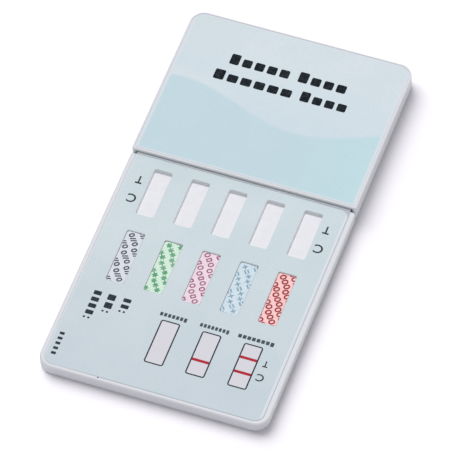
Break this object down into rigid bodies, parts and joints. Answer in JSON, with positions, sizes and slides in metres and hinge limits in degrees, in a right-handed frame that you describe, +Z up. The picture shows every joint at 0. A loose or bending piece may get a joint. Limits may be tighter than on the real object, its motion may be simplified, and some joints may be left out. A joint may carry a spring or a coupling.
{
  "type": "lateral flow cassette",
  "caption": "Flat multi-strip dip card for a lateral flow test, with two rows of windows, a printed label and a pull-off cap over the strips' sample ends.",
  "frame": {"origin": "middle of the closed card's underside", "axes": "+Z up out of the printed face, +Y along the card to the cap's closed end, +X across the strips"},
  "size_m": [0.057, 0.11, 0.0048],
  "materials": {
    "shell_plastic": "moulded white polystyrene, satin",
    "cap_plastic": "moulded white polystyrene, satin",
    "card_film": "printed film label, pale blue, semi-matte",
    "cap_film": "printed film label, pale blue to aqua, semi-matte",
    "backing_vinyl": "white vinyl card",
    "membrane": "white nitrocellulose, matt",
    "conjugate_fibre": "glass fibre pad with dried dusky-red conjugate",
    "sample_paper": "white cellulose pad",
    "wick_paper": "white cotton wick paper",
    "tape_grey": "white tape printed in dark grey",
    "tape_green": "pale green tape printed in green",
    "tape_pink": "pale pink tape printed in magenta",
    "tape_blue": "pale blue tape printed in light blue",
    "tape_red": "pale red tape printed in red"
  },
  "bodies": {
    "card": {"back_shell": "shell_plastic", "front_shell": "shell_plastic", "card_label": "card_film", "backing_1": "backing_vinyl", "membrane_1": "membrane", "conjugate_pad_1": "conjugate_fibre", "sample_pad_1": "sample_paper", "wick_1": "wick_paper", "id_tape_1": "tape_grey", "backing_2": "backing_vinyl", "membrane_2": "membrane", "conjugate_pad_2": "conjugate_fibre", "sample_pad_2": "sample_paper", "wick_2": "wick_paper", "id_tape_2": "tape_green", "backing_3": "backing_vinyl", "membrane_3": "membrane", "conjugate_pad_3": "conjugate_fibre", "sample_pad_3": "sample_paper", "wick_3": "wick_paper", "id_tape_3": "tape_pink", "backing_4": "backing_vinyl", "membrane_4": "membrane", "conjugate_pad_4": "conjugate_fibre", "sample_pad_4": "sample_paper", "wick_4": "wick_paper", "id_tape_4": "tape_blue", "backing_5": "backing_vinyl", "membrane_5": "membrane", "conjugate_pad_5": "conjugate_fibre", "sample_pad_5": "sample_paper", "wick_5": "wick_paper", "id_tape_5": "tape_red"},
    "cap": {"cap": "cap_plastic", "cap_label": "cap_film"}
  },
  "joints": [
    {"name": "cap_slide", "type": "slide", "parent": "card", "child": "cap", "axis": [0, 1, 0], "range_m": [0, 0.042]}
  ]
}
